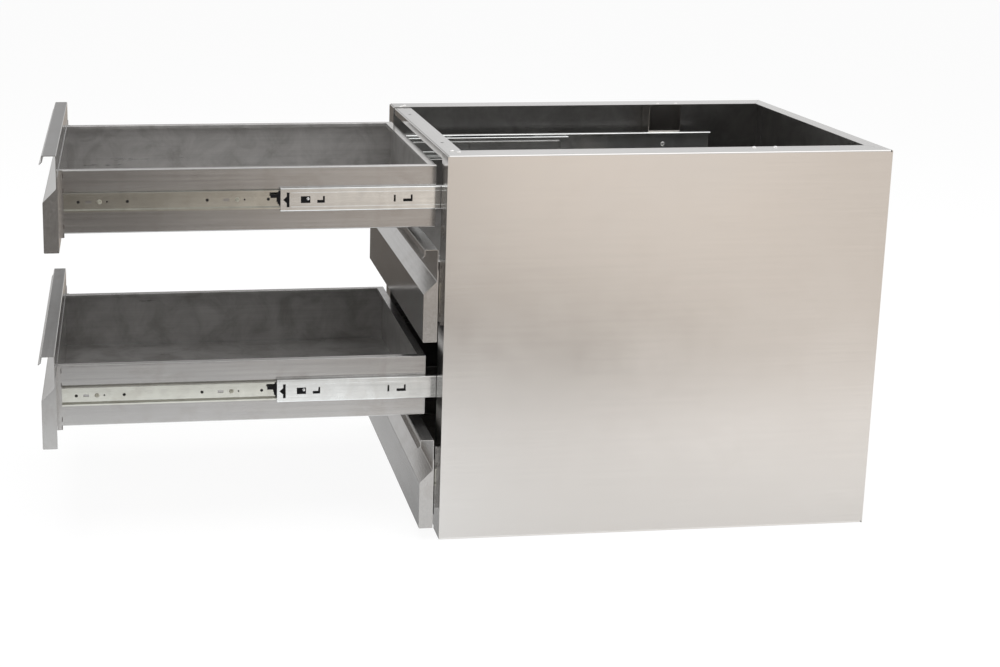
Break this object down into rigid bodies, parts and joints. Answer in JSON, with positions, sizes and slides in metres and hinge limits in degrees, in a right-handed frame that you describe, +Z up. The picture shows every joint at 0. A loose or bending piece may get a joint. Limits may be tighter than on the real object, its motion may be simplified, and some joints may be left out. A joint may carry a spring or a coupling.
{
  "type": "outdoor kitchen drawer unit",
  "caption": "Stainless steel drawer unit for an outdoor kitchen: an open-topped folded sheet carcass with wide drawers, full-width handle lips and full-extension ball-bearing slides.",
  "frame": {"origin": "centre of the carcass base, on the floor", "axes": "+X across the unit to the right of someone who faces the fronts, -Y towards the drawer fronts, +Z up"},
  "size_m": [0.54, 1.297, 0.614],
  "materials": {
    "carcass_steel": "brushed",
    "drawer_steel": "brushed",
    "slide_zinc": "zinc plated",
    "black_plastic": "moulded"
  },
  "bodies": {
    "cabinet": {"side_panel_right": "carcass_steel", "side_panel_left": "carcass_steel", "back_panel": "carcass_steel", "bottom_panel": "carcass_steel", "top_front_rail": "carcass_steel", "rear_post_right": "carcass_steel", "rear_post_left": "carcass_steel", "drawer_1_outer_slide_right": "slide_zinc", "drawer_1_outer_slide_left": "slide_zinc", "drawer_2_outer_slide_right": "slide_zinc", "drawer_2_outer_slide_left": "slide_zinc", "drawer_3_outer_slide_right": "slide_zinc", "drawer_3_outer_slide_left": "slide_zinc", "drawer_4_outer_slide_right": "slide_zinc", "drawer_4_outer_slide_left": "slide_zinc"},
    "drawer_1": {"drawer_1_front": "drawer_steel", "drawer_1_front_liner": "drawer_steel", "drawer_1_box": "drawer_steel", "drawer_1_inner_slide_right": "slide_zinc", "drawer_1_inner_slide_left": "slide_zinc"},
    "drawer_1_runners": {"drawer_1_middle_slide_right": "slide_zinc", "drawer_1_middle_slide_left": "slide_zinc", "drawer_1_slide_bumpers": "black_plastic", "drawer_1_ball_cages": "black_plastic"},
    "drawer_2": {"drawer_2_front": "drawer_steel", "drawer_2_front_liner": "drawer_steel", "drawer_2_box": "drawer_steel", "drawer_2_inner_slide_right": "slide_zinc", "drawer_2_inner_slide_left": "slide_zinc"},
    "drawer_2_runners": {"drawer_2_middle_slide_right": "slide_zinc", "drawer_2_middle_slide_left": "slide_zinc", "drawer_2_slide_bumpers": "black_plastic", "drawer_2_ball_cages": "black_plastic"},
    "drawer_3": {"drawer_3_front": "drawer_steel", "drawer_3_front_liner": "drawer_steel", "drawer_3_box": "drawer_steel", "drawer_3_inner_slide_right": "slide_zinc", "drawer_3_inner_slide_left": "slide_zinc"},
    "drawer_3_runners": {"drawer_3_middle_slide_right": "slide_zinc", "drawer_3_middle_slide_left": "slide_zinc", "drawer_3_slide_bumpers": "black_plastic", "drawer_3_ball_cages": "black_plastic"},
    "drawer_4": {"drawer_4_front": "drawer_steel", "drawer_4_front_liner": "drawer_steel", "drawer_4_box": "drawer_steel", "drawer_4_inner_slide_right": "slide_zinc", "drawer_4_inner_slide_left": "slide_zinc"},
    "drawer_4_runners": {"drawer_4_middle_slide_right": "slide_zinc", "drawer_4_middle_slide_left": "slide_zinc", "drawer_4_slide_bumpers": "black_plastic", "drawer_4_ball_cages": "black_plastic"}
  },
  "joints": [
    {"name": "drawer_1_slide", "type": "slide", "parent": "cabinet", "child": "drawer_1", "axis": [0, -1, 0], "range_m": [-0.561, 0.01]},
    {"name": "drawer_1_runner_slide", "type": "slide", "parent": "cabinet", "child": "drawer_1_runners", "axis": [0, -1, 0], "range_m": [-0.26367, 0.0047]},
    {"name": "drawer_2_slide", "type": "slide", "parent": "cabinet", "child": "drawer_2", "axis": [0, -1, 0], "range_m": [0, 0.571]},
    {"name": "drawer_2_runner_slide", "type": "slide", "parent": "cabinet", "child": "drawer_2_runners", "axis": [0, -1, 0], "range_m": [0, 0.26837]},
    {"name": "drawer_3_slide", "type": "slide", "parent": "cabinet", "child": "drawer_3", "axis": [0, -1, 0], "range_m": [-0.571, 0]},
    {"name": "drawer_3_runner_slide", "type": "slide", "parent": "cabinet", "child": "drawer_3_runners", "axis": [0, -1, 0], "range_m": [-0.26837, 0]},
    {"name": "drawer_4_slide", "type": "slide", "parent": "cabinet", "child": "drawer_4", "axis": [0, -1, 0], "range_m": [0, 0.571]},
    {"name": "drawer_4_runner_slide", "type": "slide", "parent": "cabinet", "child": "drawer_4_runners", "axis": [0, -1, 0], "range_m": [0, 0.26837]}
  ],
  "couplings": [
    {"joint": "drawer_1_runner_slide", "follows": "drawer_1_slide", "ratio": 0.47},
    {"joint": "drawer_2_runner_slide", "follows": "drawer_2_slide", "ratio": 0.47},
    {"joint": "drawer_3_runner_slide", "follows": "drawer_3_slide", "ratio": 0.47},
    {"joint": "drawer_4_runner_slide", "follows": "drawer_4_slide", "ratio": 0.47}
  ]
}
